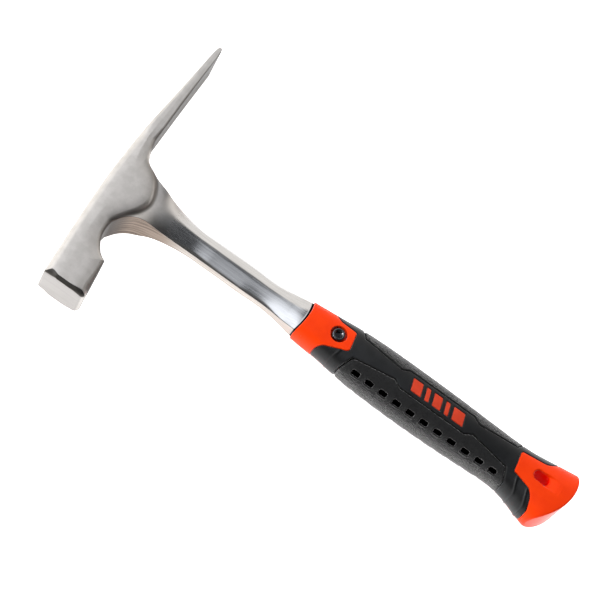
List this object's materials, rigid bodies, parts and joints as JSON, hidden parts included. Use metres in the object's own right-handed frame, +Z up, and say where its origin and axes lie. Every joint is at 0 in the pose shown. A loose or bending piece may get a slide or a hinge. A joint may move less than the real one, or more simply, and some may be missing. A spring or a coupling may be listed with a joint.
{
  "type": "brick hammer",
  "caption": "One-piece forged brick hammer: square poll, straight-edged chisel, polished neck and a two-colour moulded grip with lanyard slot.",
  "frame": {"origin": "middle of the hammer's box at the surface it lies on, on its side", "axes": "+X along the handle towards the butt, +Y towards the chisel, +Z up through the thickness, so the head's mid-plane is parallel to the floor"},
  "size_m": [0.32, 0.1812, 0.031],
  "materials": {
    "forged_steel": "ground cheeks, polished neck",
    "orange_plastic": "satin moulded",
    "hard_black": "satin moulded",
    "soft_black": "fine pebble grain",
    "black_steel": "black oxide"
  },
  "bodies": {
    "root": {"forged_head_tang": "forged_steel", "grip_core": "orange_plastic", "butt_cap": "orange_plastic", "grip_shell": "hard_black", "soft_pad_striking_side": "soft_black", "soft_pad_chisel_side": "soft_black", "emblem_inlay_top": "orange_plastic", "emblem_inlay_bottom": "orange_plastic", "locking_screw": "black_steel", "sleeve_nut": "black_steel"}
  },
  "joints": []
}
